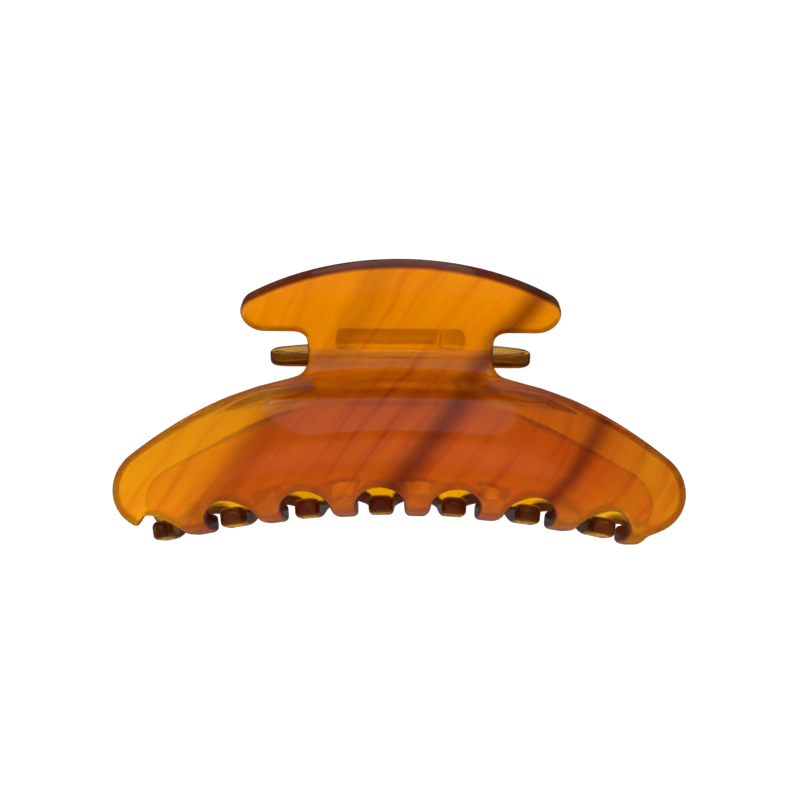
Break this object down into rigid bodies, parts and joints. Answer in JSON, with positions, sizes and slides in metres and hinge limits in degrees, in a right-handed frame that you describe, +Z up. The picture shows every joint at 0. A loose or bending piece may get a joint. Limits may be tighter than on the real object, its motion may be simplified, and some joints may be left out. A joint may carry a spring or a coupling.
{
  "type": "claw hair clip",
  "caption": "Closed acetate claw hair clip: two curved toothed halves with thumb wings, hinged on a pin with a torsion spring that holds the jaws shut.",
  "frame": {"origin": "on the floor under the middle of the clip's box, with the clip lying on its back half", "axes": "+X along the clip, +Y from the teeth towards the thumb wings, +Z up through the front half"},
  "size_m": [0.103, 0.053, 0.0456],
  "materials": {
    "acetate": "polished translucent amber with darker diagonal streaks",
    "block_acetate": "polished translucent light amber",
    "steel": "bright drawn wire"
  },
  "bodies": {
    "back": {"back_claw": "acetate", "back_hinge_block": "block_acetate", "hinge_pin": "steel", "torsion_spring": "steel"},
    "front": {"front_claw": "acetate", "front_hinge_block": "block_acetate"}
  },
  "joints": [
    {"name": "jaw_hinge", "type": "hinge", "parent": "back", "child": "front", "pos_m": [0, 0.0113, 0.02119], "axis": [-1, 0, 0], "range_deg": [0, 56], "stiffness_Nm_per_rad": 0.12, "springref_deg": -38.39, "deforming": ["torsion_spring"]}
  ]
}
